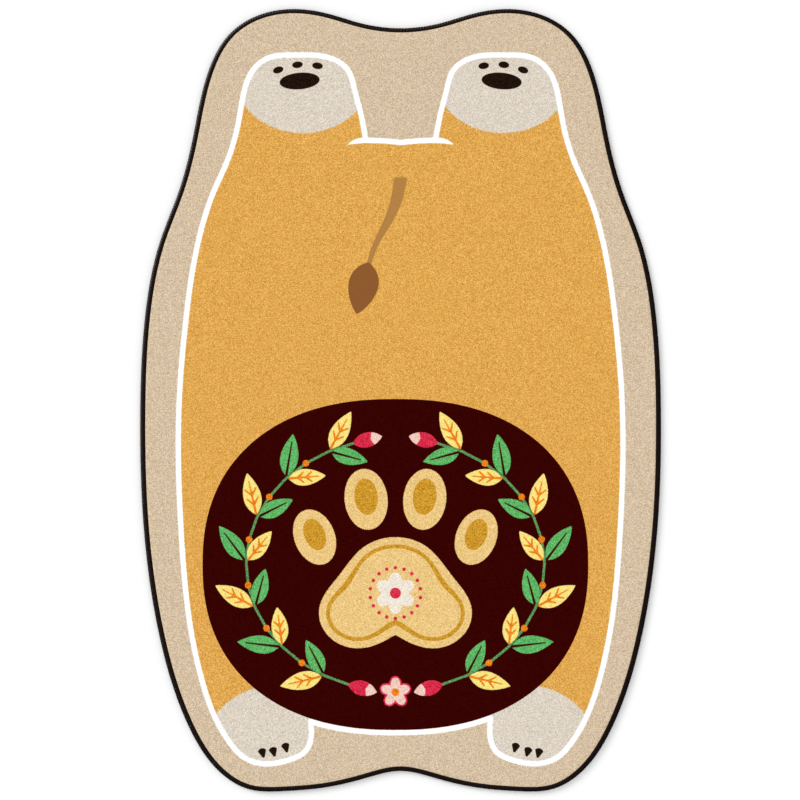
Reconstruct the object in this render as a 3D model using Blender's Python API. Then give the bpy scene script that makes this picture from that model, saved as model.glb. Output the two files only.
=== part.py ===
"""Animal-shaped rug for a child's room, lying flat on the floor.

It is a short-pile carpet, cut to the outline of a crouching animal seen from above, whose raw rim is pressed thin
and held inside an edge of overlocked yarn. Metres, +Z up, the fore paws towards -Y and the hind paws towards +Y.
The origin is the middle of the footprint, on the floor.
"""

import bmesh
import bpy
import numpy as np

MM = 0.001

# Driving dimensions, in millimetres.
RUG_LENGTH = 1200
RUG_WIDTH = 800
RUG_THICKNESS = 7.0
EDGE_WIDTH = 7.5
EDGE_HEIGHT = 6.5
RIM_THICKNESS = 3.4
FLOOR_LEG = 1.0
GAP = 0.3
OUTLINE_POINTS = 200

# Right half of the rug's outline, from the hind end round to the fore end: name, x, y in millimetres.
HALF_LENGTH = RUG_LENGTH / 2
HALF_WIDTH = RUG_WIDTH / 2
HALF_OUTLINE = (
    ("dip between the hind paws", 0, HALF_LENGTH - 28.5),
    ("rise to the hind paw", 62, HALF_LENGTH - 20.5),
    ("hind paw, inner side", 108, HALF_LENGTH - 7),
    ("hind paw, crown", 160, HALF_LENGTH + 1),
    ("hind paw, outer side", 217, HALF_LENGTH - 8),
    ("hind paw, corner", 262, HALF_LENGTH - 36.5),
    ("hind ankle", 294, 509),
    ("hind leg", 319, 404),
    ("thigh", 341.5, 319),
    ("hip", 369.5, 244),
    ("back of the flank", 391, 142),
    ("widest place", HALF_WIDTH, -20),
    ("front of the flank", 392.5, -220),
    ("shoulder", 369, -369),
    ("fore leg", 327, -498),
    ("fore paw, corner", 271, 23 - HALF_LENGTH),
    ("fore paw, outer side", 236, 3.5 - HALF_LENGTH),
    ("fore paw, sole", 180, -0.5 - HALF_LENGTH),
    ("fore paw, inner side", 108, 6.5 - HALF_LENGTH),
    ("rise from the fore paw", 52, 20 - HALF_LENGTH),
    ("dip between the fore paws", 0, 30.5 - HALF_LENGTH),
)

# Cross-sections at the rim: distance in from the outline and height above the floor, in millimetres.
CHANNEL_DEPTH = 1.8  # thickness of the yarn wall outside the carpet's rim
RIM_LOW = FLOOR_LEG + GAP
RIM_HIGH = RIM_LOW + RIM_THICKNESS
PILE_START = EDGE_WIDTH + GAP

CARPET_SECTION = (
    (PILE_START, 0),
    (PILE_START, RIM_LOW),
    (CHANNEL_DEPTH + GAP, RIM_LOW),
    (CHANNEL_DEPTH + GAP, RIM_HIGH),
    (PILE_START, RIM_HIGH),
    (PILE_START, RUG_THICKNESS - 1.3),
    (PILE_START + 1.0, RUG_THICKNESS - 0.5),
    (PILE_START + 3.2, RUG_THICKNESS - 0.1),
    (PILE_START + 7.0, RUG_THICKNESS),
)

EDGE_SECTION = (
    (EDGE_WIDTH, 0),
    (EDGE_WIDTH, FLOOR_LEG),
    (CHANNEL_DEPTH, FLOOR_LEG),
    (CHANNEL_DEPTH, RIM_HIGH + GAP),
    (EDGE_WIDTH, RIM_HIGH + GAP),
    (EDGE_WIDTH, RIM_HIGH + 2 * GAP),
    (0.83 * EDGE_WIDTH, 0.95 * EDGE_HEIGHT),
    (0.56 * EDGE_WIDTH, EDGE_HEIGHT),
    (0.34 * EDGE_WIDTH, 0.98 * EDGE_HEIGHT),
    (0.14 * EDGE_WIDTH, 0.87 * EDGE_HEIGHT),
    (0.03 * EDGE_WIDTH, 0.69 * EDGE_HEIGHT),
    (0, 0.48 * EDGE_HEIGHT),
    (0.04 * EDGE_WIDTH, 0.26 * EDGE_HEIGHT),
    (0.16 * EDGE_WIDTH, 0.08 * EDGE_HEIGHT),
    (0.36 * EDGE_WIDTH, 0),
)

# Colours as linear red, green and blue.
PILE_COLOUR = (0.66, 0.34, 0.075)
YARN_COLOUR = (0.018, 0.010, 0.008)


def clear_scene():
    for item in list(bpy.data.objects):
        bpy.data.objects.remove(item)


def whole_outline():
    """The named points of the right half, then their mirror images back up the left side."""
    right = np.array([(x, y) for _, x, y in HALF_OUTLINE], float)
    left = right[1:-1][::-1] * (-1, 1)
    return np.vstack([right, left])


def closed_spline(points, count):
    """Points on the closed cubic spline through the given ones, whose bend is continuous everywhere."""
    number = len(points)
    here = np.arange(number)
    after = (here + 1) % number
    chord = np.linalg.norm(points[after] - points, axis=1)
    before = np.roll(chord, 1)
    system = np.zeros((number, number))
    system[here, here] = 2 * (before + chord)
    system[here, after] += chord
    system[here, here - 1] += before
    slope = (points[after] - points) / chord[:, None]
    bend = np.linalg.solve(system, 6 * (slope - np.roll(slope, 1, axis=0)))
    knots = np.concatenate([[0], np.cumsum(chord)])
    along = np.linspace(0, knots[-1], count, endpoint=False)
    start = np.searchsorted(knots, along, side="right") - 1
    end = (start + 1) % number
    to_end = (knots[start + 1] - along)[:, None]
    from_start = (along - knots[start])[:, None]
    span = chord[start][:, None]
    cubic = (bend[start] * to_end**3 + bend[end] * from_start**3) / (6 * span)
    line = (points[start] / span - bend[start] * span / 6) * to_end
    line += (points[end] / span - bend[end] * span / 6) * from_start
    return cubic + line


def inward_normals(outline):
    """Unit vectors pointing into the rug. The outline runs clockwise seen from above."""
    tangent = np.roll(outline, -1, axis=0) - np.roll(outline, 1, axis=0)
    tangent /= np.linalg.norm(tangent, axis=1)[:, None]
    return np.stack([tangent[:, 1], -tangent[:, 0]], axis=1)


def cloth_material(name, colour, roughness):
    material = bpy.data.materials.new(name)
    material.use_nodes = True
    shader = material.node_tree.nodes["Principled BSDF"]
    shader.inputs["Base Color"].default_value = (*colour, 1)
    shader.inputs["Roughness"].default_value = roughness
    shader.inputs["Metallic"].default_value = 0
    return material


def carried_round(name, section, material, capped):
    """A solid whose cross-section is carried round the rug's outline.

    A capped one is filled across by its first and last rings, as a slab is. The other is a closed loop.
    """
    outline = closed_spline(whole_outline(), OUTLINE_POINTS)
    inward = inward_normals(outline)
    solid = bmesh.new()
    rings = []
    for inset, height in section:
        places = (outline + inset * inward) * MM
        rings.append([solid.verts.new((x, y, height * MM)) for x, y in places])
    joined = list(zip(rings, rings[1:]))
    if capped:
        solid.faces.new(rings[0])
        solid.faces.new(rings[-1])
    else:
        joined.append((rings[-1], rings[0]))
    for first, second in joined:
        for k in range(OUTLINE_POINTS):
            after = (k + 1) % OUTLINE_POINTS
            solid.faces.new((first[k], first[after], second[after], second[k]))
    bmesh.ops.recalc_face_normals(solid, faces=solid.faces[:])
    mesh = bpy.data.meshes.new(name)
    solid.to_mesh(mesh)
    solid.free()
    mesh.materials.append(material)
    mesh.shade_smooth()
    mesh.set_sharp_from_angle(angle=np.radians(35))
    made = bpy.data.objects.new(name, mesh)
    bpy.context.scene.collection.objects.link(made)
    return made


def make_carpet():
    """The carpet itself, with a crowned rim of pile and a thin pressed lip that the yarn grips."""
    pile = cloth_material("short pile", PILE_COLOUR, 0.95)
    return carried_round("carpet", CARPET_SECTION, pile, capped=True)


def make_edge():
    """The overlocked yarn, a rounded loop that wraps over, round and under the carpet's lip."""
    yarn = cloth_material("overlock yarn", YARN_COLOUR, 0.6)
    return carried_round("overlocked_edge", EDGE_SECTION, yarn, capped=False)


clear_scene()
make_carpet()
make_edge()
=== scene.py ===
"""A child's rug in the shape of a crouching animal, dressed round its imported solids.

The rug lies flat, fore paws towards -Y and hind paws towards +Y. Its backing cloth and the printed pile on it
take the carpet's place, and the yarn that is overlocked round its rim takes the edge's. Lengths are in
millimetres, but for the settings, the meshes and the stage, which are in metres.
"""

import math
from functools import reduce
from itertools import chain

import bpy
import numpy as np
from bpy.props import FloatProperty, FloatVectorProperty, IntProperty, PointerProperty
from mathutils.geometry import delaunay_2d_cdt
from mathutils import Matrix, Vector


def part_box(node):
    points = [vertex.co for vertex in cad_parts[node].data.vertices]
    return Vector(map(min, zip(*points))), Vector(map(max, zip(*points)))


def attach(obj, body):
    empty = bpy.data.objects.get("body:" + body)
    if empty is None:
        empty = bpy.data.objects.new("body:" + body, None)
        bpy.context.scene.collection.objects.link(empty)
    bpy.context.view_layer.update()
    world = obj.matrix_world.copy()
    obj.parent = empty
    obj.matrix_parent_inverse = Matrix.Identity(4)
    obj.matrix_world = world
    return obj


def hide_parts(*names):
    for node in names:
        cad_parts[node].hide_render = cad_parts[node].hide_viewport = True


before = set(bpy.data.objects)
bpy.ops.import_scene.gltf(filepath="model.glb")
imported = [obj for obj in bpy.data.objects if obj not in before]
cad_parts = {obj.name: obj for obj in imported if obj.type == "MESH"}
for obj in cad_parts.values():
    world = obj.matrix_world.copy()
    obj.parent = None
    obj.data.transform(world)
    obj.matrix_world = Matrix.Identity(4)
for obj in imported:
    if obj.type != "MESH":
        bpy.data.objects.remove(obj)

bl_info = {
    "name": "Animal Shaped Rug",
    "version": (1, 0, 0),
    "blender": (4, 5, 0),
    "location": "View3D > Sidebar > Rug",
    "description": "Dresses the solids of an animal shaped rug with pile, print, backing and overlock yarn",
    "category": "Add Mesh",
}

MM = 0.001
BODY = "root"
CARPET_NODE = "carpet"
EDGE_NODE = "overlocked_edge"
BAKE_MAP = "OFBake"
WRAP_MAP = "wraps"

# How the pieces meet at the rim, in millimetres in from the outline and up from the floor.
RUG_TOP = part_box(CARPET_NODE)[1].z / MM
EDGE_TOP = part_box(EDGE_NODE)[1].z / MM
EDGE_WIDTH = 7.5
RIM_WIDEST = 3.1  # height at which the edge reaches furthest out
CLEARANCE = 0.3
FLOOR_LEG = 1.0
LIP_LOW = FLOOR_LEG + CLEARANCE
LIP_HIGH = LIP_LOW + 3.4
LIP_DEPTH = 1.8 + CLEARANCE
YARN_WIDTH = EDGE_WIDTH + 1.0  # at the middle of the rug's sides
YARN_TAPER = 0.5  # how much wider it is at their fore end, and narrower at their hind end
YARN_HIND_WIDTH = EDGE_WIDTH - 0.2  # across the rug's hind end
YARN_FORE_WIDTH = EDGE_WIDTH + 0.4
YARN_LEG = EDGE_WIDTH - 0.5  # how far it reaches in along the floor
PILE_TUCK = 0.3  # how far the pile reaches under the yarn
PILE_BOTTOM = LIP_HIGH - 0.3
REACH = 14.0  # no distance to a line is measured past this
LINE_STEP = 2  # between the points of a line that pile is cut to
YARN_STEP = 1  # between those of the line that the yarn follows
BACKING_STEP = 4

# The oval field, round its middle: |x / half width| ** power + |y / half length| ** power = 1.
OVAL_X = -8
OVAL_Y = -252
OVAL_HALF_WIDTH = 296
OVAL_HALF_LENGTH = 254
OVAL_POWER = 2.3
OVAL_SPOTS = 721

# Right half of the contour line, from the rump's middle round the flank to the fore paw's inner side: x, y.
CONTOUR = {
    "rump": ((0, 395.5), (25, 398), (53.5, 399)),
    "hind leg, inside": ((59.5, 432), (72.5, 484)),
    "hind paw": ((80.5, 506), (106, 524.5), (162, 530), (205, 524.5), (228.5, 504)),
    "hind leg, outside": ((240.5, 473), (249, 426), (267, 365)),
    "hip": ((286.5, 321), (306.5, 260)),
    "flank": ((332, 100), (339.5, 6), (341, -96), (336, -215)),
    "shoulder": ((325, -332),),
    "fore leg": ((302.5, -438), (286, -484)),
    "fore paw": ((261, -527), (239, -549), (205, -558), (173, -552.5), (145, -537), (137.5, -517)),
}
FOOT_X = 138  # where the fore paw's line meets the one under the oval

# Strokes from one end to the other: x, y, half width. The rump's goes from its middle past the right leg.
RUMP_STROKE = ((0, 395.6, 4.0), (25, 398, 3.9), (54, 399, 4.4), (66, 397.9, 3.9), (76, 394.8, 2.1),
               (81.5, 392.7, 0.3))
TAIL = ((0, 342, 10), (-7, 306, 8.6), (-21, 272, 6.4), (-38, 240, 4.4), (-50, 204, 3.4))
RUMP_STEP = 4
TAIL_STEP = 6
TUFT = (-49, 212, -103, 82, 45, 0.25)  # a leaf, see leaf()

# The paws: the hind patches of both sides, and all the rest for the right side. An ellipse is its middle's x
# and y, half width, half height and turn in degrees.
HIND_PATCHES = ((-150, 501, 106, 91), (157, 501, 106, 91))
FORE_PATCH = (185, -530, 114, 94)
HIND_PAD = (155, 490, 30.8, 12.7)
HIND_TILT = -5
TOES = ((-29.4, 20.9, 13), (1.2, 25.1, -2), (31.3, 19.8, -13))  # from the pad's middle: x, y, turn
TOE_HALF_SIZE = (8.2, 5.0)
CLAWS = ((176, -533.2), (195, -539.7), (211.8, -541.5))
CLAW_WIDTH = 13.0
CLAW_LENGTH = 15.2
CLAW_HEADING = -105
CLAW_ENDS = ((-0.24, 0.5), (0.35, 0.17))  # place in claw lengths, half width in claw widths

# The large paw print in the oval, as ellipses round the oval's middle. x is folded over it.
PAD_MIDDLE = (0, -28, 78, 70)
PAD_SIDE = (62, -78, 56, 50, 18)
PAD_MELT = 46
PAD_GROOVE = (11, 17)  # the darker line on the pad, in from its rim
PRINT_TOES = ((45, 100, 33, 47, -7), (124, 42, 31, 44, -22))
HOLLOW = (4, 15, 19)  # of a toe: moved up by the first, and this much less half width and half height

# The two sprigs in the oval, whose stems follow an ellipse round its middle. Leaves are length and width.
STEM_HALF_SIZE = (229, 194)
STEM_TURNS = (-72, 74)
STEM_SPOTS = 15
STEM_HALF_WIDTH = 2.0
OUTER_LEAF = (66, 27)
INNER_LEAF = (58, 25)
LEAF_TURN = 38
LEAF_GAP = 4
VEIN = ((2, 1.9), (0.8, 0.9))  # its start and half width there, its end as a share of the leaf and half width
RIB_STARTS = (0.24, 0.46)  # along the leaf
RIB_REACH = (0.16, 0.13)  # along and across, in leaf lengths
RIB_HALF_WIDTHS = (1.6, 1.2)
BERRY = 5.2
BUD = (46, 23, 0.1)
BUD_OVERLAP = 2
BUD_TIP = (0.6, 0.375)  # where its pink tip starts, and how far that moves on for a step across

# Flowers on the oval's middle line: middle's y, size, count of petals. Petal and heart are in flower sizes.
FLOWER = (-44, 31, 6)
KNOT = (-196, 22, 5)
KNOT_RIM = 2.5
PETAL = (0.58, 0.44, 0.33)  # middle, half length, half width
HEART = 0.27
DOT_RING = (-44, 39, 2.8, 18)  # its middle's y, radius, radius of a dot, count

BORDER_INKS = ("line",)
BODY_INKS = ("paw", "pad", "tail", "tuft", "line")
FIELD_INKS = ("gold", "dark_gold", "cream", "stem", "green", "yellow", "vein", "crimson", "pink", "orange")
SMOOTH_INKS = ("tail", "tuft")
SMOOTHNESS = 0.9  # how much of the fleck a smooth ink hides
OWN_SOFT = {"line": 0.8, "paw": 1.3}  # how far these inks fade into their neighbours
FRAY = 0.8  # how far the fibres move the rim of an ink
EYE_POWER = 2.2
FLECK_WHITE = 1.08  # a colour this bright would have no fleck
FINE = (1.5, 2.2)  # size of the fibres and strength of their fleck
CLUMPS = (5.5, 0.14)
# TUFTS: size of the tufts, and strength of the painted shade in the gaps between them
TUFTS = (2.1, 0.25)
TINGE_SIZE = 7
TINGE = (0.05, 0.015, 0.08)  # how far the slow noise moves red, green and blue

# The pile's relief: size of the lumps, share of the height and seed of the random numbers.
LUMPS = ((3.1, 0.6, 1), (8.3, 0.4, 2))
WAVES = (140, 1, 3)
RIM_FADE = 1.2  # over which the drop at the yarn dies away
RIM_FLAT = 3  # within which the lumps grow from the yarn inwards
RIM_LUMPS = 0.3  # share of their height that they have at the yarn
PILE_CREASE = 62
YARN_CREASE = 75

# The yarn's outside, from the floor up and over, in edge widths and heights, and how its wraps stand on it.
YARN_PROFILE = ((0.62, 0.005), (0.36, 0.02), (0.16, 0.10), (0.04, 0.27), (0, 0.48), (0.03, 0.69),
                (0.14, 0.87), (0.34, 0.975), (0.58, 1.0), (0.80, 0.995), (1.0, 0.97))
SECTION_POINTS = 14
SECTION_STEP = 0.05
INNER_RIM = 0.1  # thickness of its inner rim, over the lip's slit
RIDGE_FROM = 4.0  # along the section, where the ridges start to rise
RIDGE_PAST = 0.6  # how far past the section's end they would be flat again
RIDGE_EASE = 2.0
CREST_MIDDLE = 0.7  # share of a ridge's height that is taken off, so that it stands about the outline
UNEVEN_HEIGHT = 0.12
UNEVEN_PLACE = 0.35
BAKE_ROWS = 14

FIBRES = (9.0, 22.0, 1.0)  # how many streaks the noise has across a wrap and round the section
GLOSS_END = (0.37, 0.43)  # round the section, where the gloss fades out
# Shaded and lit copies of the backing's beige, mixed by the weave's height: painted shade in the gaps between
# threads
BACKING_SHADED = (0.42, 0.36, 0.28)
BACKING_LIT = (0.66, 0.60, 0.50)
FLUFF = 1.4
THREAD_PITCH = 2.4
THREAD_WAVE = 0.31  # scale of a wave texture that has one thread in each unit
FLOOR_HALF = 12000
FLOOR_LOW = -0.2  # just below the rug's underside
SENSOR = 36


# Settings: a colour, a length that is given in millimetres, and an angle that is given in degrees.


def dye(name, description, *colour):
    return FloatVectorProperty(name=name, description=description, default=colour, subtype="COLOR")


def measure(name, description, millimetres):
    return FloatProperty(name=name, description=description, default=millimetres * MM, unit="LENGTH")


def lean(name, description, degrees):
    return FloatProperty(name=name, description=description, default=math.radians(degrees), unit="ROTATION")


class PrintSettings(bpy.types.PropertyGroup):
    line_width: measure("Contour line", "Width of the white contour line", 8.3)
    soft: measure("Softness", "How far most colours fade into their neighbours", 0.4)
    border: dye("Border", "Pile round the animal", 0.582, 0.458, 0.321)
    body: dye("Body", "Pile of the animal's back", 0.655, 0.340, 0.0715)
    paw: dye("Paw", "Pile of the four paws", 0.632, 0.565, 0.478)
    pad: dye("Pads", "Pads, toes and claws", 0.0125, 0.0053, 0.0025)
    line: dye("Line", "Contour line", 0.93, 0.93, 0.93)
    field: dye("Field", "Oval field", 0.0315, 0.0004, 0.0001)
    tail: dye("Tail", "Tail", 0.397, 0.194, 0.052)
    tuft: dye("Tuft", "End of the tail", 0.237, 0.089, 0.025)
    stem: dye("Stems", "Stems of the wreath", 0.090, 0.260, 0.085)
    green: dye("Green", "Green leaves", 0.098, 0.400, 0.110)
    yellow: dye("Yellow", "Yellow leaves", 0.830, 0.670, 0.190)
    vein: dye("Veins", "Veins of the green leaves", 0.034, 0.0015, 0.0006)
    orange: dye("Orange", "Berries, and veins of the yellow leaves", 0.720, 0.190, 0.008)
    crimson: dye("Crimson", "Buds and the flower's heart", 0.590, 0.020, 0.056)
    pink: dye("Pink", "Tips of the buds", 0.760, 0.520, 0.440)
    gold: dye("Gold", "The large paw print", 0.730, 0.500, 0.195)
    dark_gold: dye("Dark gold", "Hollows of the large paw print", 0.530, 0.265, 0.020)
    cream: dye("Cream", "Petals of the flower", 0.760, 0.690, 0.590)


class PileSettings(bpy.types.PropertyGroup):
    border_cell: measure("Border cell", "Grid step of the border's pile", 1.9)
    body_cell: measure("Body cell", "Grid step of the body's pile", 2.05)
    field_cell: measure("Field cell", "Grid step of the oval's pile", 1.65)
    relief: measure("Relief", "Height of the pile's small lumps", 0.2)
    wave: measure("Wave", "Height of the wide, slow rise and fall", 0.12)
    rim_drop: measure("Rim drop", "How far the pile is drawn down at the yarn", 0.7)
    # Grain scales the fibres' random fleck and the painted shade between tufts
    grain: FloatProperty(
        name="Grain", description="Fleck of light and dark fibres", default=1.0, min=0, max=2)


class EdgeSettings(bpy.types.PropertyGroup):
    pitch: measure("Wrap", "Width of one wrap of yarn along the rim", 4.2)
    steps: IntProperty(name="Steps", description="Grid steps across one wrap", default=6, min=3)
    slant: FloatProperty(
        name="Slant", description="How many wraps one turn of yarn moves along the rim", default=3.0)
    ridge: measure("Ridge", "Height of a wrap over the groove beside it", 0.5)
    yarn: dye("Yarn", "Overlock yarn", 0.0085, 0.0038, 0.0023)


class StageSettings(bpy.types.PropertyGroup):
    floor: dye("Floor", "Pale floor", 0.890, 0.890, 0.890)
    sky: FloatProperty(
        name="Sky", description="Strength of the soft light from all round", default=0.944, min=0)
    key: FloatProperty(name="Key", description="Strength of the soft key light", default=1.40, min=0)
    key_spread: lean("Key spread", "How wide the key light looks", 23)
    key_tilt: lean("Key tilt", "How far the key light leans from straight above", 62)
    key_heading: lean("Key heading", "Which way the key light shines, from +X", -40)
    lens: FloatProperty(name="Lens", description="Focal length in millimetres", default=100)
    view_height: measure("View height", "What the picture spans from top to bottom", 1229.2)
    view_x: measure("View X", "Camera's place across the rug", -0.95)
    view_y: measure("View Y", "Camera's place along the rug", 0.43)


# Lines and distances, in millimetres.


def lengths_along(line):
    """How far along an open line each of its points lies."""
    return np.concatenate([[0], np.cumsum(np.linalg.norm(np.diff(line, axis=0), axis=1))])


def points_at(line, along):
    """The points of an open line at these lengths along it."""
    lengths = lengths_along(line)
    return np.stack([np.interp(along, lengths, line[:, axis]) for axis in (0, 1)], axis=1)


def smooth_line(points, spacing, closed=False):
    """Points about one spacing apart on the cubic spline through the given ones.

    Between two points the spline is a straight line plus a cubic term for the bend at each end. The bends
    solve one equation for each point, which makes the slopes on its two sides equal; an open line has no bend
    at its ends.
    """
    points = np.asarray(points, float)
    if closed:
        points = np.vstack([points, points[:1]])
    chord = np.linalg.norm(np.diff(points, axis=0), axis=1)
    slope = np.diff(points, axis=0) / chord[:, None]
    number = len(points)
    system = np.eye(number)
    right = np.zeros_like(points)
    inner = np.arange(1, number - 1)
    system[inner, inner - 1] = chord[:-1]
    system[inner, inner] = 2 * (chord[:-1] + chord[1:])
    system[inner, inner + 1] = chord[1:]
    right[inner] = 6 * np.diff(slope, axis=0)
    if closed:
        system[0, [0, 1, -2]] = 2 * (chord[-1] + chord[0]), chord[0], chord[-1]
        right[0] = 6 * (slope[0] - slope[-1])
        system[-1, [0, -1]] = -1, 1
    bend = np.linalg.solve(system, right)
    knots = lengths_along(points)
    count = int(round(knots[-1] / spacing)) + (0 if closed else 1)
    along = np.linspace(0, knots[-1], count, endpoint=not closed)
    start = np.clip(np.searchsorted(knots, along, side="right") - 1, 0, number - 2)
    to_end = (knots[start + 1] - along)[:, None]
    from_start = (along - knots[start])[:, None]
    span = chord[start][:, None]
    cubic = (bend[start] * to_end**3 + bend[start + 1] * from_start**3) / (6 * span)
    line = (points[start] / span - bend[start] * span / 6) * to_end
    return cubic + line + (points[start + 1] / span - bend[start + 1] * span / 6) * from_start


def rim_outline(spacing):
    """The rug's outline, clockwise seen from above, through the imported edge's outermost ring of corners."""
    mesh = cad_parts[EDGE_NODE].data
    corners = np.empty(len(mesh.vertices) * 3, np.float32)
    mesh.vertices.foreach_get("co", corners)
    corners = np.unique(np.round(corners.reshape(-1, 3) / MM, 3), axis=0)
    widest = corners[corners[:, 2] == corners[corners[:, 0].argmax(), 2]]
    order = np.argsort(-np.arctan2(widest[:, 1], widest[:, 0]))
    return smooth_line(widest[order, :2], spacing, closed=True)


def inward(line):
    """Unit vectors into a closed clockwise line."""
    tangent = np.roll(line, -1, axis=0) - np.roll(line, 1, axis=0)
    tangent /= np.linalg.norm(tangent, axis=1)[:, None]
    return np.c_[tangent[:, 1], -tangent[:, 0]]


def inset(line, depth):
    """The line moved inwards, by one depth or by a depth for each point."""
    return line + np.reshape(depth, (-1, 1)) * inward(line)


def yarn_width(line):
    """How wide the yarn is at each point of the outline.

    Along the sides it widens evenly towards the fore end. Near an end it goes over to that end's own width,
    by the square of the inward vector's y.
    """
    along = inward(line)[:, 1]
    side = YARN_WIDTH - YARN_TAPER * line[:, 1] / line[:, 1].max()
    end = np.where(along > 0, YARN_FORE_WIDTH, YARN_HIND_WIDTH)
    return side + (end - side) * along**2


def pile_rim():
    """The closed line where the pile ends, just under the yarn."""
    outline = rim_outline(LINE_STEP)
    return inset(outline, yarn_width(outline) - PILE_TUCK)


def oval_line():
    """The oval field's rim, clockwise and evenly spaced. x and y are powers of a circle's cosine and sine."""
    turn = np.linspace(0, 2 * np.pi, OVAL_SPOTS)
    x = np.sign(np.cos(turn)) * np.abs(np.cos(turn)) ** (2 / OVAL_POWER)
    y = np.sign(np.sin(turn)) * np.abs(np.sin(turn)) ** (2 / OVAL_POWER)
    ring = np.c_[OVAL_X + OVAL_HALF_WIDTH * x, OVAL_Y - OVAL_HALF_LENGTH * y]
    ring[-1] = ring[0]
    length = lengths_along(ring)[-1]
    return points_at(ring, np.linspace(0, length, int(round(length / LINE_STEP)), endpoint=False))


def contour_line(half_width):
    """The middle of the white line, closed and clockwise: rump, leg, flank and fore paw, then under the oval.

    The corners at the rump and under the oval stay sharp, because each stretch between them is spaced on its
    own.
    """
    across = np.linspace(FOOT_X, -FOOT_X, int(2 * FOOT_X / LINE_STEP))
    share = (np.abs(across - OVAL_X) / (OVAL_HALF_WIDTH + half_width)) ** OVAL_POWER
    down = (OVAL_HALF_LENGTH + half_width) * (1 - share) ** (1 / OVAL_POWER)
    under = np.c_[across, OVAL_Y - down]
    first, *others = CONTOUR.values()
    mirror = np.array([-1, 1])
    rump = smooth_line(first, LINE_STEP)
    right, left = (smooth_line([first[-1], *chain(*others), foot], LINE_STEP)
                   for foot in (under[0], under[-1] * mirror))
    return np.vstack([rump[:-1], right, under[1:-1], left[::-1] * mirror, rump[-2:0:-1] * mirror])


def off_step(from_x, from_y, step_x, step_y):
    """Of places seen from a straight step's start: how far along it they lie, as a share, and how far off."""
    share = np.clip((from_x * step_x + from_y * step_y) / (step_x**2 + step_y**2), 0, 1)
    return share, np.hypot(from_x - share * step_x, from_y - share * step_y)


def signed_distance(line, xs, ys):
    """Distance from each point of a grid to a closed line, negative inside it and never past REACH.

    Each step of the line is measured against the grid points near it alone. A point is inside where an odd
    number of steps cross its row to its left.
    """
    pitch = xs[1] - xs[0]
    step = np.roll(line, -1, axis=0) - line
    near = np.arange(-int(REACH / pitch), int(REACH / pitch) + 2)
    (start_x, start_y), (step_x, step_y) = line.T[:, :, None, None], step.T[:, :, None, None]
    column = np.floor((start_x - xs[0]) / pitch).astype(int) + near[None, :]
    row = np.floor((start_y - ys[0]) / pitch).astype(int) + near[:, None]
    column, row = np.broadcast_arrays(column, row)
    away = off_step(xs[0] + column * pitch - start_x, ys[0] + row * pitch - start_y, step_x, step_y)[1]
    held = (column >= 0) & (column < len(xs)) & (row >= 0) & (row < len(ys))
    distance = np.full(len(xs) * len(ys), REACH)
    np.minimum.at(distance, (row * len(xs) + column)[held], away[held])
    ends = np.stack([line[:, 1], line[:, 1] + step[:, 1]])
    low, high = ends.min(axis=0)[:, None], ends.max(axis=0)[:, None]
    which, crossed = np.nonzero((ys >= low) & (ys < high))
    at = line[which, 0] + (ys[crossed] - line[which, 1]) * step[which, 0] / step[which, 1]
    flips = np.zeros((len(ys), len(xs) + 1), int)
    np.add.at(flips, (crossed, np.clip(np.ceil((at - xs[0]) / pitch), 0, len(xs)).astype(int)), 1)
    inside = np.cumsum(flips, axis=1)[:, :-1] % 2 == 1
    distance = distance.reshape(len(ys), len(xs))
    return np.where(inside, -distance, distance)


# The print. Each shape gives, for points x and y, about how far they lie outside it, negative inside.


def ahead(turn):
    """The unit vector at so many degrees from +X."""
    return np.array([math.cos(math.radians(turn)), math.sin(math.radians(turn))])


def turned_axes(x, y, start_x, start_y, turn):
    """Places along and across an axis that starts at a point and is turned by so many degrees."""
    cos, sin = ahead(turn)
    return (x - start_x) * cos + (y - start_y) * sin, (y - start_y) * cos - (x - start_x) * sin


def ellipse(x, y, middle_x, middle_y, half_width, half_height, turn=0.0):
    """An ellipse's level is 1 on its rim. Level times level less 1, over its slope, is the distance there."""
    along, across = turned_axes(x, y, middle_x, middle_y, turn)
    level = np.hypot(along / half_width, across / half_height)
    slope = np.hypot(along / half_width**2, across / half_height**2)
    return level * (level - 1) / np.maximum(slope, 1e-6)


def leaf(x, y, base_x, base_y, heading, length, width, belly=0.3):
    """Two equal arcs from base to tip. belly says by how much the base half is fuller than the tip half."""
    along, across = turned_axes(x, y, base_x, base_y, heading)
    along = along - length / 2
    across = across / np.clip(1 - belly * 2 * along / length, 0.4, 2)
    radius = (length**2 + width**2) / (4 * width)
    return np.hypot(along, np.abs(across) + radius - width / 2) - radius


def stroke(x, y, line):
    """A stroke along rows (x, y, half width), round at its ends and as wide as the rows say between them."""
    found = np.full(np.shape(x), np.inf)
    for (x0, y0, half0), (x1, y1, half1) in zip(line, line[1:]):
        share, away = off_step(x - x0, y - y0, x1 - x0, y1 - y0)
        found = np.minimum(found, away - half0 - share * (half1 - half0))
    return found


def melted(first, second, soft):
    """The union of two shapes with the crease between them filled out, by up to a quarter of soft."""
    near = np.maximum(soft - np.abs(first - second), 0) / soft
    return np.minimum(first, second) - near**2 * soft / 4


def union(shapes):
    """Inside any of the shapes is inside their union, so its distance is the least of theirs."""
    return reduce(np.minimum, shapes)


def folded(x, y, middle_y, count):
    """Places out and across, with the angle round a middle folded into one of count shares of the turn."""
    share = 2 * np.pi / count
    angle = (np.arctan2(x, y - middle_y) + share / 2) % share - share / 2
    out = np.hypot(x, y - middle_y)
    return out * np.cos(angle), out * np.sin(angle)


def claw(x, y, middle_x, middle_y):
    """A stroke from a wide root to a blunt tip, with its root rounded by the circle through both ends."""
    along, across = turned_axes(x, y, middle_x, middle_y, CLAW_HEADING)
    taper = stroke(along, across, [(place * CLAW_LENGTH, 0, half * CLAW_WIDTH) for place, half in CLAW_ENDS])
    return np.maximum(taper, ellipse(along, across, 0, 0, 0.5 * CLAW_LENGTH, 0.5 * CLAW_LENGTH))


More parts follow.
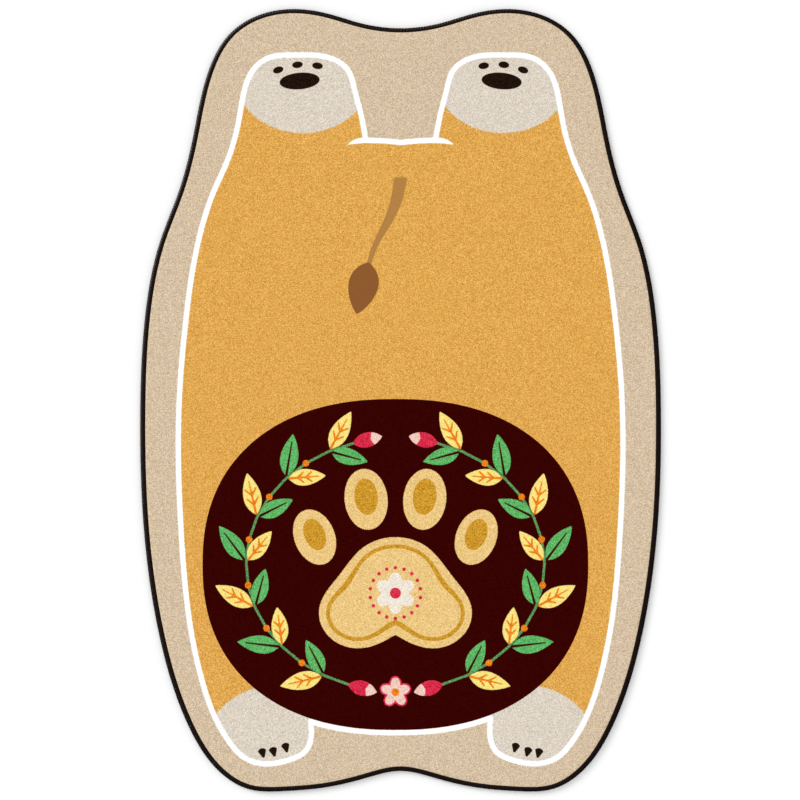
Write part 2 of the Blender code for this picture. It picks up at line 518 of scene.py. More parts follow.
def body_inks(x, y):
    """The paws' patches, pads, toes and claws, and the tail.

    The hind patches and the tail are drawn as they lie, and the rest once, with x folded over it.
    """
    patches = [ellipse(x, y, *patch) for patch in HIND_PATCHES]
    tail = np.maximum(stroke(x, y, smooth_line(TAIL, TAIL_STEP)), y - TAIL[0][1])
    tuft = leaf(x, y, *TUFT)
    x = np.abs(x)
    patches.append(ellipse(x, y, *FORE_PATCH))
    pad_x, pad_y, pad_wide, pad_high = HIND_PAD
    along, across = turned_axes(x, y, pad_x, pad_y, HIND_TILT)
    dark = [ellipse(along, across, 0, 0, pad_wide, pad_high)]
    dark += [ellipse(along, across, toe_x, toe_y, *TOE_HALF_SIZE, turn) for toe_x, toe_y, turn in TOES]
    dark += [claw(x, y, *middle) for middle in CLAWS]
    return {"paw": union(patches), "pad": union(dark), "tail": tail, "tuft": tuft}


def rump_stroke(x, y):
    """The white stroke over the rump, whose right half is drawn with x folded."""
    return stroke(np.abs(x), y, smooth_line(RUMP_STROKE, RUMP_STEP))


def big_paw(x, y):
    """The large paw print in the oval: a three-lobed pad and four toes, each with a darker hollow."""
    x = np.abs(x)
    pad = melted(ellipse(x, y, *PAD_MIDDLE), ellipse(x, y, *PAD_SIDE), PAD_MELT)
    toe = union(ellipse(x, y, *row) for row in PRINT_TOES)
    up, less_wide, less_high = HOLLOW
    hollow = union(ellipse(x, y - up, toe_x, toe_y, wide - less_wide, high - less_high, turn)
                   for toe_x, toe_y, wide, high, turn in PRINT_TOES)
    groove = np.maximum(pad + PAD_GROOVE[0], -(pad + PAD_GROOVE[1]))
    return {"gold": np.minimum(pad, toe), "dark_gold": np.minimum(hollow, groove)}


def flower(x, y, middle_y, size, petals):
    """A flower with round petals, of which one is drawn on folded places, and its round heart."""
    middle, half_length, half_width = PETAL
    out, across = folded(x, y, middle_y, petals)
    petal = ellipse(out, across, size * middle, 0, size * half_length, size * half_width)
    return petal, ellipse(x, y, 0, middle_y, size * HEART, size * HEART)


def dot_ring(x, y, middle_y, radius, size, count):
    """Dots evenly round a ring, of which one is drawn on folded places."""
    out, across = folded(x, y, middle_y, count)
    return np.hypot(out - radius, across) - size


def leaf_veins(x, y, base, turn, length, ribbed):
    """A tapering middle vein, and on a ribbed leaf two pairs of side veins."""
    along, across = turned_axes(x, y, *base, turn)
    across = np.abs(across)
    (start, start_half), (end, end_half) = VEIN
    found = stroke(along, across, [(start, 0, start_half), (end * length, 0, end_half)])
    if ribbed:
        for start in RIB_STARTS:
            end = (start + RIB_REACH[0]) * length, RIB_REACH[1] * length, RIB_HALF_WIDTHS[1]
            found = np.minimum(found, stroke(along, across, [(start * length, 0, RIB_HALF_WIDTHS[0]), end]))
    return found


def wreath(x, y):
    """Two leafy sprigs that mirror each other round the large paw print.

    A stem follows an ellipse inside the oval, from low on the right side to high on it. Leaves leave it in
    pairs, one outwards and one inwards, green and yellow by turns, with a berry between two pairs and a bud
    at each end.
    """
    x = np.abs(x)
    wide, high = STEM_HALF_SIZE
    turns = np.radians(np.linspace(*STEM_TURNS, STEM_SPOTS))
    spots = np.c_[wide * np.cos(turns), high * np.sin(turns)]
    heading = np.degrees(np.arctan2(high * np.cos(turns), -wide * np.sin(turns)))
    shapes = {"stem": [stroke(x, y, [(*spot, STEM_HALF_WIDTH) for spot in spots])]}
    shapes |= {ink: [] for ink in ("green", "yellow", "vein", "orange", "crimson", "pink")}
    for number, k in enumerate(range(1, STEM_SPOTS - 1, 2)):
        for side, (length, width) in ((-1, OUTER_LEAF), (1, INNER_LEAF)):
            colour, vein = ("green", "vein") if (number + (side > 0)) % 2 else ("yellow", "orange")
            turn = heading[k] + side * LEAF_TURN
            base = spots[k] + LEAF_GAP * ahead(turn)
            shapes[colour].append(leaf(x, y, *base, turn, length, width))
            shapes[vein].append(leaf_veins(x, y, base, turn, length, colour == "yellow"))
    shapes["orange"] += [ellipse(x, y, *spots[k], BERRY, BERRY) for k in range(2, STEM_SPOTS - 2, 2)]
    tip_start, tip_slope = BUD_TIP
    for spot, turn in ((spots[0], heading[0] + 180), (spots[-1], heading[-1])):
        base = spot - BUD_OVERLAP * ahead(turn)
        bud = leaf(x, y, *base, turn, *BUD)
        along, across = turned_axes(x, y, *base, turn)
        shapes["crimson"].append(bud)
        shapes["pink"].append(np.maximum(bud, tip_start * BUD[0] - along + tip_slope * np.abs(across)))
    return {ink: union(drawn) for ink, drawn in shapes.items()}


def field_inks(x, y):
    """Everything in the oval, with the oval's middle as its origin."""
    x, y = x - OVAL_X, y - OVAL_Y
    inks = wreath(x, y) | big_paw(x, y)
    inks["cream"], heart = flower(x, y, *FLOWER)
    knot, knot_heart = flower(x, y, *KNOT)
    inks["crimson"] = union([inks["crimson"], heart, dot_ring(x, y, *DOT_RING), knot - KNOT_RIM])
    inks["pink"] = np.minimum(inks["pink"], knot)
    inks["orange"] = np.minimum(inks["orange"], knot_heart)
    return inks


# Meshes.


def lumps(x, y, size, share, seed):
    """Smooth random heights up to share: random numbers on a square lattice, eased from each to the next."""
    across = 512
    table = share * np.random.default_rng(seed).uniform(-1, 1, (across, across))
    column, row = np.floor(x / size), np.floor(y / size)
    ease_x, ease_y = (3 * f**2 - 2 * f**3 for f in (x / size - column, y / size - row))
    c, r = column.astype(int) % across, row.astype(int) % across
    c1, r1 = (c + 1) % across, (r + 1) % across
    low = table[r, c] + ease_x * (table[r, c1] - table[r, c])
    high = table[r1, c] + ease_x * (table[r1, c1] - table[r1, c])
    return low + ease_y * (high - low)


def clipped(table, faces, column):
    """The part of a triangle mesh where a column of its table is nought or less.

    A triangle that the zero line crosses is cut there. Of its three corners one is alone on its side of the
    line, and that one is turned to be the first. On each of its two sides a new row is put in, by its share
    of the way between the side's ends. What is kept is one smaller triangle, or two.
    """
    level = table[:, column]
    kept = level <= 0
    count = kept[faces].sum(axis=1)
    cut = faces[(count == 1) | (count == 2)]
    one_kept = kept[cut].sum(axis=1) == 1
    alone = (kept[cut] == one_kept[:, None]).argmax(axis=1)
    alone, second, third = np.take_along_axis(cut, (alone[:, None] + np.arange(3)) % 3, axis=1).T
    ends = np.sort(np.vstack([np.c_[alone, second], np.c_[alone, third]]), axis=1)
    unique, place = np.unique(ends[:, 0] * len(table) + ends[:, 1], return_inverse=True)
    low, high = unique // len(table), unique % len(table)
    share = (level[low] / (level[low] - level[high]))[:, None]
    rows = table[low] + share * (table[high] - table[low])
    rows[:, column] = 0
    inner = np.where(kept[low], low, high)
    index = np.where(level[inner] == 0, inner, len(table) + np.arange(len(unique)))[place.ravel()]
    to_second, to_third = np.split(index, 2)
    faces = np.vstack([
        faces[count == 3],
        np.c_[alone, to_second, to_third][one_kept],
        np.c_[to_second, second, third][~one_kept],
        np.c_[to_second, third, to_third][~one_kept],
    ])
    whole = (faces != np.roll(faces, 1, axis=1)).all(axis=1)
    used, faces = np.unique(faces[whole], return_inverse=True)
    return np.vstack([table, rows])[used], faces.reshape(-1, 3)


def two_triangles(a, b, c, d):
    """Four-sided cells as triangles a, b, c, and then as many a, c, d."""
    return np.vstack([np.stack([a, b, c], axis=1), np.stack([a, c, d], axis=1)])


def grid_faces(rows, columns):
    """Two triangles for each cell of a grid, facing up, with the diagonals turned by turns."""
    row, column = np.divmod(np.arange((rows - 1) * (columns - 1)), columns - 1)
    a = row * columns + column
    b, c, d = a + 1, a + columns + 1, a + columns
    even = ((row + column) % 2 == 0)[:, None]
    first = np.where(even, np.c_[a, b, c], np.c_[a, b, d])
    second = np.where(even, np.c_[a, c, d], np.c_[b, c, d])
    return np.vstack([first, second])


def rim_loops(faces, count):
    """The loops of sides that only one triangle has, each as its corners in order.

    Each such side points to the one that follows it. By doubling that step again and again, every side finds
    the lowest number in its loop, and then how many steps it is from there.
    """
    starts, ends = faces.ravel(), np.roll(faces, -1, axis=1).ravel()
    lone = ~np.isin(starts * count + ends, ends * count + starts)
    order = np.argsort(starts[lone])
    starts, ends = starts[lone][order], ends[lone][order]
    here, after = np.arange(len(starts)), np.searchsorted(starts, ends)
    lowest, further = here, after
    doublings = range(len(starts).bit_length())
    for _ in doublings:
        lowest, further = np.minimum(lowest, lowest[further]), further[further]
    head = lowest == here
    steps, further = np.where(head, 0, 1), np.where(head, here, after)
    for _ in doublings:
        steps, further = steps + steps[further], further[further]
    order = np.lexsort((-steps, lowest))
    return np.split(starts[order], np.flatnonzero(np.diff(lowest[order])) + 1)


def mesh_from(name, places, faces):
    """A mesh of places in millimetres, joined by lists of their numbers."""
    mesh = bpy.data.meshes.new(name)
    mesh.from_pydata((np.asarray(places) * MM).tolist(), [], faces)
    if mesh.validate():
        raise ValueError(name + " has doubled or broken faces")
    return mesh


def put_map(mesh, name, places):
    """A UV map, as one place for each corner of each face, in the faces' order."""
    layer = mesh.uv_layers.new(name=name, do_init=False)
    layer.uv.foreach_set("vector", np.asarray(places, np.float32).ravel())


def shade(mesh, crease):
    """Smooth shading, but for edges sharper than so many degrees."""
    mesh.polygons.foreach_set("use_smooth", np.ones(len(mesh.polygons), bool))
    mesh.set_sharp_from_angle(angle=math.radians(crease))


def linked(name, data):
    made = bpy.data.objects.new(name, data)
    bpy.context.scene.collection.objects.link(made)
    return made


def placed(name, mesh, material):
    """The finished object, riding on the rug, with its place in its mesh."""
    mesh.materials.append(material)
    made = linked(name, mesh)
    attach(made, BODY)
    return made


def backing_mesh():
    """The outline moved in by each depth of the backing's section, joined, and closed below and above."""
    outline = rim_outline(BACKING_STEP)
    rim = EDGE_WIDTH + CLEARANCE
    section = ((rim, 0), (rim, LIP_LOW), (LIP_DEPTH, LIP_LOW), (LIP_DEPTH, LIP_HIGH), (rim, LIP_HIGH))
    number = len(outline)
    rings = [np.c_[inset(outline, depth), np.full(number, height)] for depth, height in section]
    here = np.arange(number)
    after = (here + 1) % number
    low = number * np.arange(len(section) - 1)[:, None]
    sides = np.stack([low + after, low + here, low + number + here, low + number + after], axis=2)
    top = (len(section) - 1) * number + here
    faces = sides.reshape(-1, 4).tolist() + [here.tolist(), top[::-1].tolist()]
    return mesh_from("carpet_cloth", np.vstack(rings), faces)


def pile_heights(x, y, rim, settings):
    """The pile's top: level, less a drop that dies away from the yarn, plus lumps of three sizes."""
    drop = settings.rim_drop / MM * np.exp(-np.maximum(rim, 0) / RIM_FADE)
    grown = np.clip(rim / RIM_FLAT, RIM_LUMPS, 1)
    relief = settings.relief / MM * sum(lumps(x, y, *row) for row in LUMPS) * grown
    return RUG_TOP - drop + relief + settings.wave / MM * lumps(x, y, *WAVES)


def cut_grid(cell, within, outside, trims):
    """A flat grid of triangles cut to a region, as a table (x, y, distances to the trims) and its faces.

    Points that lie almost on one of the region's own lines are first moved onto it, and the triangles that
    still cross a line are cut there. No cut is made along the trims, whose distances are only measured.
    """
    margin, clear_of, almost = 3 * cell, 2 * cell, 0.25 * cell
    low, high = within.min(axis=0) - margin, within.max(axis=0) + margin
    xs, ys = np.arange(low[0], high[0], cell), np.arange(low[1], high[1], cell)
    x, y = np.meshgrid(xs, ys)
    levels = [signed_distance(within, xs, ys)]
    if outside is not None:
        levels.append(-signed_distance(outside, xs, ys))
    clear = np.max([np.abs(level) for level in levels], axis=0) > clear_of
    for level in levels:
        slope_y, slope_x = np.gradient(level, cell)
        near = (np.abs(level) < almost) & (clear | (len(levels) == 1))
        x[near] -= (level * slope_x)[near]
        y[near] -= (level * slope_y)[near]
        level[near] = 0
    cuts = len(levels)
    levels += [signed_distance(trim, xs, ys) for trim in trims]
    table = np.stack([x.ravel(), y.ravel()] + [level.ravel() for level in levels], axis=1)
    faces = grid_faces(len(ys), len(xs))
    for column in range(2, 2 + cuts):
        table, faces = clipped(table, faces, column)
    return np.delete(table, np.arange(2, 2 + cuts), axis=1), faces


def flat_underside(name, rim, turns):
    """Triangles that fill the loops of a flat rim, less the loops inside them, all facing down."""
    inside_less_holes = 2
    filled = delaunay_2d_cdt(rim.tolist(), [], [turn.tolist() for turn in turns], inside_less_holes, 1e-5)
    if len(filled[0]) != len(rim) or not np.allclose(filled[0], rim, atol=1e-3):
        raise ValueError(name + " has a rim that meets itself")
    faces = np.array(filled[2])
    a, b, c = (rim[faces[:, k]] for k in range(3))
    upward = (b - a)[:, 0] * (c - a)[:, 1] > (b - a)[:, 1] * (c - a)[:, 0]
    faces[upward] = faces[upward][:, ::-1]
    return faces


def slab(name, x, y, top, faces):
    """A closed mesh: the faces at the height of top, walls straight down from their rims, a flat underside.

    On its map the top keeps its shape at the left. The walls are a strip of their own up the right side, and
    the underside is small below that strip.
    """
    loops = rim_loops(faces, len(x))
    around = np.concatenate(loops)
    number = len(around)
    below = np.zeros(len(x), int)
    below[around] = len(x) + np.arange(number)
    after = np.concatenate([np.roll(loop, -1) for loop in loops])
    walls = two_triangles(after, around, below[around], below[after])
    rim = np.c_[x[around], y[around]]
    turns = np.split(np.arange(number), np.cumsum([len(loop) for loop in loops])[:-1])
    under = len(x) + flat_underside(name, rim, turns)
    places = np.vstack([np.c_[x, y, top], np.c_[rim, np.full(number, PILE_BOTTOM)]])
    flat = places[:, :2] - places[:, :2].min(axis=0)
    flat = flat / flat.max()
    if flat[:, 0].max() > flat[:, 1].max():
        flat = flat[:, ::-1]
    strip_left, strip_right, strip_low, strip_high = 0.885, 0.985, 0.15, 0.99
    from_v = strip_low + (strip_high - strip_low) * np.arange(number) / number
    to_v = from_v + (strip_high - strip_low) / number
    upper, upper_next, lower, lower_next = (np.c_[np.full(number, u), v]
                                            for u in (strip_left, strip_right) for v in (from_v, to_v))
    wall_map = two_triangles(upper_next, upper, lower, lower_next)
    mesh = mesh_from(name, places, np.vstack([faces, walls, under]).tolist())
    margin, under_low, under_size = 0.003, 0.01, 0.1
    top_map = margin + (1 - 2 * margin) * flat[faces]
    under_map = (strip_left, under_low) + under_size * flat[under]
    put_map(mesh, BAKE_MAP, np.vstack([top_map, wall_map, under_map]))
    return mesh


def yarn_section():
    """The rim's section: from under the carpet round the outside to the top, then back by the lip's slit.

    Rows are (depth in from the outline, height, share of the ridge). The outside is a spline through the rows
    of YARN_PROFILE.
    """
    slit_top, slit_end = LIP_HIGH + CLEARANCE, LIP_DEPTH - CLEARANCE
    outside = np.array(YARN_PROFILE) * (EDGE_WIDTH, EDGE_TOP)
    line = smooth_line(np.vstack([(YARN_LEG, 0), outside, (YARN_WIDTH, slit_top + INNER_RIM)]), SECTION_STEP)
    length = lengths_along(line)[-1]
    along = np.linspace(0, length, SECTION_POINTS)
    share = np.clip(np.minimum(along - RIDGE_FROM, length + RIDGE_PAST - along) / RIDGE_EASE, 0, 1)
    slit = ((YARN_WIDTH, slit_top), (slit_end, slit_top), (slit_end, FLOOR_LEG), (YARN_LEG, FLOOR_LEG))
    return np.vstack([np.c_[points_at(line, along), share], [(*corner, 0) for corner in slit]])


def yarn_mesh(settings):
    """The yarn as one closed tube of ridges, wound slanting round the rim.

    The rim's section is carried round the outline. Step i goes along it and step j round the section, and
    each turn round the section also moves slant wraps along, so a wrap keeps to its own steps. A wrap's
    height is half a circle's, from groove to groove, and each has its own small share of unevenness.
    """
    steps = settings.steps
    outline = rim_outline(YARN_STEP)
    ring = np.c_[outline, inward(outline) * (yarn_width(outline) / YARN_WIDTH)[:, None]]
    ring = np.vstack([ring, ring[:1]])
    wraps = int(round(lengths_along(ring[:, :2])[-1] / (settings.pitch / MM)))
    section = yarn_section()
    depths, heights, shares = section.T
    outward = -inward(section[:, :2])
    turned = lengths_along(np.vstack([section, section[:1]])[:, :2])
    turned = turned / turned[-1]
    along_count, around_count = wraps * steps, len(section)
    i, j = np.meshgrid(np.arange(along_count), np.arange(around_count), indexing="ij")
    crest = np.sqrt(np.maximum(1 - (2 * (i / steps % 1) - 1) ** 2, 0))
    uneven = np.random.default_rng(11).uniform(-1, 1, (wraps, 2))[i // steps]
    lift = settings.ridge / MM * (crest - CREST_MIDDLE + UNEVEN_HEIGHT * uneven[:, :, 0]) * shares[j]
    depth = depths[j] + lift * outward[j, 0]
    height = np.maximum(heights[j] + lift * outward[j, 1], 0)
    shift = settings.slant * turned[j] * steps + UNEVEN_PLACE * uneven[:, :, 1] * shares[j]
    spot = (i - shift) / along_count % 1 * len(outline)
    number = np.floor(spot).astype(int)
    x, y, in_x, in_y = np.moveaxis(
        ring[number] + (spot - number)[:, :, None] * (ring[number + 1] - ring[number]), 2, 0)
    places = np.stack([x + depth * in_x, y + depth * in_y, height], axis=2).reshape(-1, 3)

    def point_number(a, b):
        """Past the section's last point comes its first one, slant wraps further back."""
        a = np.where(b == around_count, a - int(settings.slant) * steps, a)
        return a % along_count * around_count + b % around_count

    corners = ((i, j + 1), (i + 1, j + 1), (i + 1, j), (i, j))
    faces = np.stack([point_number(a, b) for a, b in corners], axis=2).reshape(-1, 4)
    mesh = mesh_from("edge_yarn", places, faces.tolist())
    wraps_map = [np.stack([a / steps, turned[b]], axis=2) for a, b in corners]
    per_row, margin = math.ceil(along_count / BAKE_ROWS), 0.05
    row, up = i // per_row, margin + (1 - 2 * margin) * turned
    bake_map = [np.stack([a / per_row - row, (row + up[b]) / BAKE_ROWS], axis=2) for a, b in corners]
    put_map(mesh, WRAP_MAP, np.stack(wraps_map, axis=2))
    put_map(mesh, BAKE_MAP, np.stack(bake_map, axis=2))
    shade(mesh, YARN_CREASE)
    return mesh


# Materials.


class Wire:
    """A node's output that can stand in a sum, where each operator adds a Math node.

    A number less a wire is -1 times the wire plus the number.
    """

    def __init__(self, finish, socket):
        self.finish, self.socket = finish, socket

    def maths(self, operation, *others):
        return self.finish.node("ShaderNodeMath", {"operation": operation}, (self, *others))

    def __add__(self, other):
        return self.maths("ADD", other)

    def __sub__(self, other):
        return self.maths("SUBTRACT", other)

    def __rsub__(self, other):
        return self.maths("MULTIPLY_ADD", -1.0, other)

    def __mul__(self, other):
        return self.maths("MULTIPLY", other)

    __radd__, __rmul__ = __add__, __mul__

    def between(self, low, high):
        """Nought below low, one above high, and straight between them."""
        settings = {"interpolation_type": "LINEAR", "clamp": True}
        values = {"Value": self, "From Min": low, "From Max": high}
        return self.finish.node("ShaderNodeMapRange", settings, values)


class Finish:
    """One material while its nodes are laid out."""

    def __init__(self, name):
        self.material = bpy.data.materials.new(name)
        self.material.use_nodes = True
        self.tree = self.material.node_tree
        self.shader = self.tree.nodes["Principled BSDF"]

    def node(self, kind, settings=None, values=None, output=0):
        """Adds a node: first its settings, then the numbers, colours or wires of its sockets."""
        made = self.tree.nodes.new(kind)
        for name, value in (settings or {}).items():
            setattr(made, name, value)
        pairs = values.items() if isinstance(values, dict) else enumerate(values or ())
        for key, value in pairs:
            self.feed(made.inputs[key], value)
        return Wire(self, made.outputs[output])

    def feed(self, socket, value):
        if isinstance(value, Wire):
            self.tree.links.new(value.socket, socket)
        else:
            socket.default_value = value

    def noise(self, where, scale, detail=2.0, roughness=0.6, output="Fac"):
        values = {"Vector": where, "Scale": scale, "Detail": detail, "Roughness": roughness}
        return self.node("ShaderNodeTexNoise", None, values, output)

    def vector(self, operation, *values):
        return self.node("ShaderNodeVectorMath", {"operation": operation}, values)

    def mixed(self, share, first, second):
        """A colour between two, by share."""
        return self.node("ShaderNodeMix", {"data_type": "RGBA"}, {0: share, 6: first, 7: second}, output=2)

    def set(self, **values):
        for name, value in values.items():
            self.feed(self.shader.inputs[name.replace("_", " ")], value)

    def bumped(self, height, distance, strength):
        values = {"Height": height, "Distance": distance, "Strength": strength}
        self.feed(self.shader.inputs["Normal"], self.node("ShaderNodeBump", None, values))


def opaque(colour):
    """The colour with an alpha of one, as sockets want it."""
    return (*colour, 1.0)


def as_seen(colour):
    """The 1 / 2.2 power of each channel, in which equal steps look equal to the eye."""
    return opaque(channel ** (1 / EYE_POWER) for channel in colour)


def pile_finish(name, ground, inks, colours, settings):
    """Cut pile with a print on it.

    Where an ink's distance passes below nought, its colour covers what is under it, over a soft edge that the
    fibres fray. Colours are mixed and flecked as the eye sees them, and turned back at the end. Flecks of
    three sizes are added, most on middling colours and least on the palest and the darkest. The fine and
    clumped ones are the fibres' random tone; the tufts' one is painted shade, darker in the gaps between
    tufts where their bump dips. A slower noise with three numbers of its own tinges them. Smooth inks hide
    most of both.
    """
    finish = Finish(name)
    where = finish.node("ShaderNodeTexCoord", output="Object")
    (fine_size, fine_fleck), (clump_size, clump_fleck), (tuft_size, tuft_gap_shade) = FINE, CLUMPS, TUFTS
    fine = finish.noise(where, 1 / (fine_size * MM), detail=1.5)
    clumps = finish.noise(where, 1 / (clump_size * MM))
    cells = {"Vector": where, "Scale": 1 / (tuft_size * MM)}
    tufts = finish.node("ShaderNodeTexVoronoi", {"feature": "F1"}, cells)
    fray = (fine - 0.5) * FRAY
    colour = as_seen(getattr(colours, ground))
    smooth = []
    for ink in inks:
        soft = OWN_SOFT.get(ink, colours.soft / MM)
        away = finish.node("ShaderNodeAttribute", {"attribute_name": "ink_" + ink}, output="Fac")
        cover = (fray - away).between(-soft, soft)
        colour = finish.mixed(cover, colour, as_seen(getattr(colours, ink)))
        if ink in SMOOTH_INKS:
            smooth.append(cover)
    level = finish.node("ShaderNodeRGBToBW", None, (colour,))
    # The tufts' share here is painted shade: darker in the gaps between tufts, where their bump dips
    fleck_and_gap_shade = (fine - 0.5) * fine_fleck + (clumps - 0.5) * clump_fleck - (tufts - 0.5) * tuft_gap_shade
    fleck_and_gap_shade = fleck_and_gap_shade * (FLECK_WHITE - level) * level * settings.grain
    tinge = finish.noise(where, 1 / (TINGE_SIZE * MM), output="Color")
    tinge = finish.vector("MULTIPLY_ADD", tinge, TINGE, [-0.5 * number for number in TINGE])
    seen = finish.vector("ADD", finish.vector("ADD", colour, tinge), fleck_and_gap_shade)
    for cover in smooth:
        seen = finish.mixed(cover * SMOOTHNESS, seen, colour)
    finish.set(Base_Color=finish.node("ShaderNodeGamma", None, (seen, EYE_POWER)))
    finish.set(Roughness=0.95, Sheen_Weight=0.01, Sheen_Roughness=0.6, Specular_IOR_Level=0.0)
    finish.bumped(fine * 0.6 + clumps * 0.4 - tufts * 0.5, distance=0.4 * MM, strength=0.5)
    return finish.material


def backing_finish():
    """Plain woven ground cloth: two sets of threads, each a wave across the other. Its colour goes from a
    shaded to a lit copy of one beige as the weave rises, painted shade in the gaps between threads, with some
    random tone from the fluff.
    """
    finish = Finish("woven_backing")
    where = finish.node("ShaderNodeTexCoord", output="Object")
    threads = {"Vector": where, "Scale": THREAD_WAVE / (THREAD_PITCH * MM)}
    across, along = (finish.node("ShaderNodeTexWave", {"bands_direction": axis}, threads) for axis in "XY")
    fluff = finish.noise(where, 1 / (FLUFF * MM), detail=3)
    weave_relief_and_shade = across * along * 0.7 + fluff * 0.3
    # Painted shade: the colour darkens where the weave dips, between the threads
    colour = finish.mixed(weave_relief_and_shade, opaque(BACKING_SHADED), opaque(BACKING_LIT))
    finish.set(Base_Color=colour, Roughness=0.9, Sheen_Weight=0.1)
    finish.bumped(weave_relief_and_shade, distance=0.5 * MM, strength=0.8)
    return finish.material


def yarn_finish(settings):
    """Overlock yarn. On its own map, x counts the wraps and y goes once round the rim's section.

    Fibres run along each wrap, so the noise is long in y and short in x, and each wrap has its own shade. The
    gloss is a coat that ends on the crest, because the pile brushes the yarn's inner half dull.
    """
    finish = Finish("overlock_yarn")
    where = finish.node("ShaderNodeUVMap", {"uv_map": WRAP_MAP})
    fibres = finish.noise(finish.vector("MULTIPLY", where, FIBRES), scale=1.0, detail=3, roughness=0.65)
    number = finish.node("ShaderNodeSeparateXYZ", None, (where,)).maths("FLOOR")
    shade = finish.node("ShaderNodeTexWhiteNoise", {"noise_dimensions": "1D"}, {"W": number})
    inner = finish.node("ShaderNodeSeparateXYZ", None, (where,), output=1).between(*GLOSS_END)
    brightness = 0.75 + fibres * 0.55 + shade * 0.25
    finish.set(Base_Color=finish.vector("MULTIPLY", tuple(settings.yarn), brightness))
    finish.set(Roughness=0.45 + fibres * 0.2, Specular_IOR_Level=0.3, Specular_Tint=(1.0, 0.7, 0.6, 1.0))
    finish.set(Coat_Weight=0.85 - inner * 0.85, Coat_Roughness=0.34, Coat_IOR=1.7)
    finish.bumped(fibres, distance=0.35 * MM, strength=0.6)
    return finish.material


# Operators.


def add_pile(context, part, draw, inks):
    """A slab of pile within one line and outside another, put on the rug with its ink distances."""
    colours, settings = context.scene.rug_print, context.scene.rug_pile
    half = colours.line_width / MM / 2
    contour, rim, oval = contour_line(half), pile_rim(), oval_line()
    within, outside = {"border": (rim, contour), "body": (contour, oval), "field": (oval, None)}[part]
    table, faces = cut_grid(getattr(settings, part + "_cell") / MM, within, outside, (contour, rim))
    x, y, contour_away, rim_away = table.T
    mesh = slab("pile_" + part, x, y, pile_heights(x, y, -rim_away, settings), faces)
    found = draw(x, y)
    if outside is not None:
        found["line"] = np.minimum(np.abs(contour_away) - half, rump_stroke(x, y))
    for ink, away in found.items():
        numbers = np.full(len(mesh.vertices), REACH, np.float32)
        numbers[:len(x)] = np.clip(away, -REACH, REACH)
        mesh.attributes.new("ink_" + ink, "FLOAT", "POINT").data.foreach_set("value", numbers)
    shade(mesh, PILE_CREASE)
    placed(mesh.name, mesh, pile_finish(part + "_pile", part, inks, colours, settings))
    return {"FINISHED"}


class RUG_OT_backing(bpy.types.Operator):
    """Make the carpet's backing cloth, with the thin lip that the yarn grips"""

    bl_idname = "rug.backing"
    bl_label = "Backing cloth"

    def execute(self, context):
        made = placed("carpet_cloth", backing_mesh(), backing_finish())
        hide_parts(CARPET_NODE)
        return {"FINISHED"}


class RUG_OT_pile_border(bpy.types.Operator):
    """Make the pile between the yarn and the middle of the contour line"""

    bl_idname = "rug.pile_border"
    bl_label = "Border pile"

    def execute(self, context):
        return add_pile(context, "border", lambda x, y: {}, BORDER_INKS)


class RUG_OT_pile_body(bpy.types.Operator):
    """Make the pile of the animal's back and paws, round the oval field"""

    bl_idname = "rug.pile_body"
    bl_label = "Body pile"

    def execute(self, context):
        return add_pile(context, "body", body_inks, BODY_INKS)


class RUG_OT_pile_field(bpy.types.Operator):
    """Make the pile of the oval field, with its wreath and large paw print"""

    bl_idname = "rug.pile_field"
    bl_label = "Oval pile"

    def execute(self, context):
        return add_pile(context, "field", field_inks, FIELD_INKS)


class RUG_OT_edge_yarn(bpy.types.Operator):
    """Wrap the overlock yarn round the rim"""

    bl_idname = "rug.edge_yarn"
    bl_label = "Overlock yarn"

    def execute(self, context):
        settings = context.scene.rug_edge
        made = placed("edge_yarn", yarn_mesh(settings), yarn_finish(settings))
        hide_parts(EDGE_NODE)
        return {"FINISHED"}


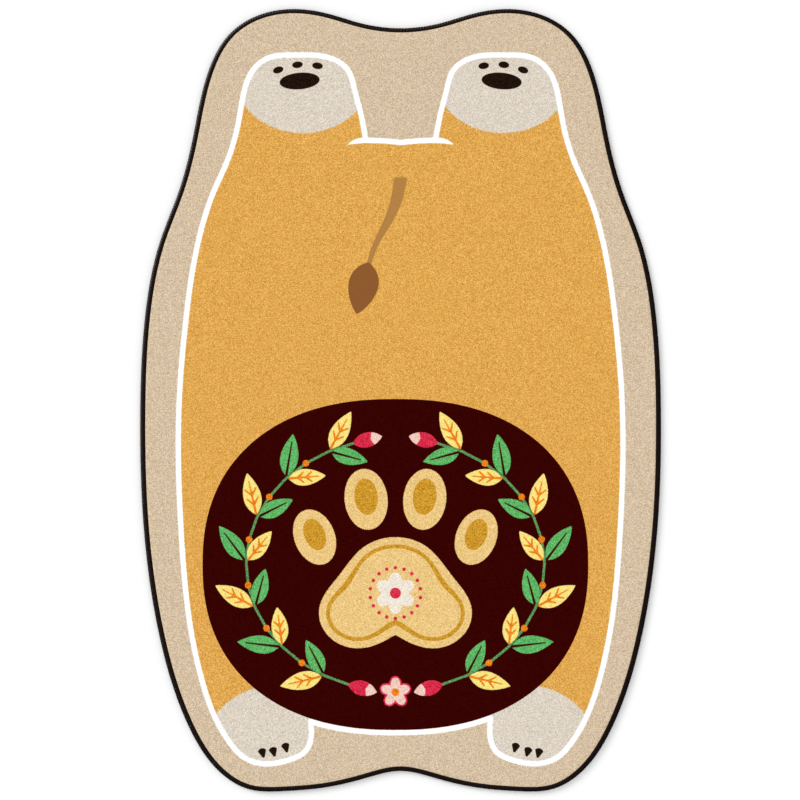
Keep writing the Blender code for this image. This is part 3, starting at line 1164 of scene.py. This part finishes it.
class RUG_OT_stage(bpy.types.Operator):
    """Lay the floor, set the lights and stand the camera straight above the rug"""

    bl_idname = "rug.stage"
    bl_label = "Floor, lights and camera"

    def execute(self, context):
        scene, stage = context.scene, context.scene.rug_stage
        corners = ((-1, -1), (1, -1), (1, 1), (-1, 1))
        places = [(x * FLOOR_HALF, y * FLOOR_HALF, FLOOR_LOW) for x, y in corners]
        mesh = mesh_from("floor", places, [(0, 1, 2, 3)])
        finish = Finish("pale_floor")
        finish.set(Base_Color=opaque(stage.floor), Roughness=1.0, Specular_IOR_Level=0.0)
        mesh.materials.append(finish.material)
        floor = linked("floor", mesh)
        floor.visible_glossy = False
        scene.world = bpy.data.worlds.new("soft_room")
        scene.world.use_nodes = True
        sky = scene.world.node_tree.nodes["Background"].inputs
        sky["Color"].default_value = (1, 1, 1, 1)
        sky["Strength"].default_value = stage.sky
        scene.world.cycles_visibility.glossy = False
        sun = bpy.data.lights.new("key", "SUN")
        sun.energy = stage.key
        sun.angle = stage.key_spread
        linked("key", sun).rotation_euler = (0, -stage.key_tilt, stage.key_heading)
        lens = bpy.data.cameras.new("camera")
        lens.lens = stage.lens
        lens.sensor_width = SENSOR
        scene.camera = linked("camera", lens)
        above = RIM_WIDEST * MM + stage.view_height * stage.lens / SENSOR
        scene.camera.location = (stage.view_x, stage.view_y, above)
        scene.view_settings.view_transform = "Standard"
        return {"FINISHED"}


class RUG_PT_panel(bpy.types.Panel):
    bl_label = "Animal Shaped Rug"
    bl_idname = "RUG_PT_panel"
    bl_space_type = "VIEW_3D"
    bl_region_type = "UI"
    bl_category = "Rug"

    def draw(self, context):
        for operator in OPERATORS:
            self.layout.operator(operator.bl_idname)
        for group in SETTINGS:
            box = self.layout.box()
            settings = getattr(context.scene, group)
            for name in SETTINGS[group].__annotations__:
                box.prop(settings, name)


SETTINGS = {"rug_print": PrintSettings, "rug_pile": PileSettings, "rug_edge": EdgeSettings,
            "rug_stage": StageSettings}
OPERATORS = (RUG_OT_backing, RUG_OT_pile_border, RUG_OT_pile_body, RUG_OT_pile_field, RUG_OT_edge_yarn,
             RUG_OT_stage)
CLASSES = (*SETTINGS.values(), *OPERATORS, RUG_PT_panel)


def register():
    for kind in CLASSES:
        bpy.utils.register_class(kind)
    for name, kind in SETTINGS.items():
        setattr(bpy.types.Scene, name, PointerProperty(type=kind))


def unregister():
    for name in SETTINGS:
        delattr(bpy.types.Scene, name)
    for kind in reversed(CLASSES):
        bpy.utils.unregister_class(kind)


def declare_cloth():
    """Works out the area within the rug's outline, and does nothing more with it."""
    outline = rim_outline(LINE_STEP) * MM
    after = np.roll(outline, -1, axis=0)
    area = abs((outline[:, 0] * after[:, 1] - outline[:, 1] * after[:, 0]).sum()) / 2


def main():
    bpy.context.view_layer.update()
    register()
    bpy.ops.rug.backing()
    bpy.ops.rug.pile_border()
    bpy.ops.rug.pile_body()
    bpy.ops.rug.pile_field()
    bpy.ops.rug.edge_yarn()
    bpy.ops.rug.stage()
    declare_cloth()


if __name__ == "__main__":
    main()
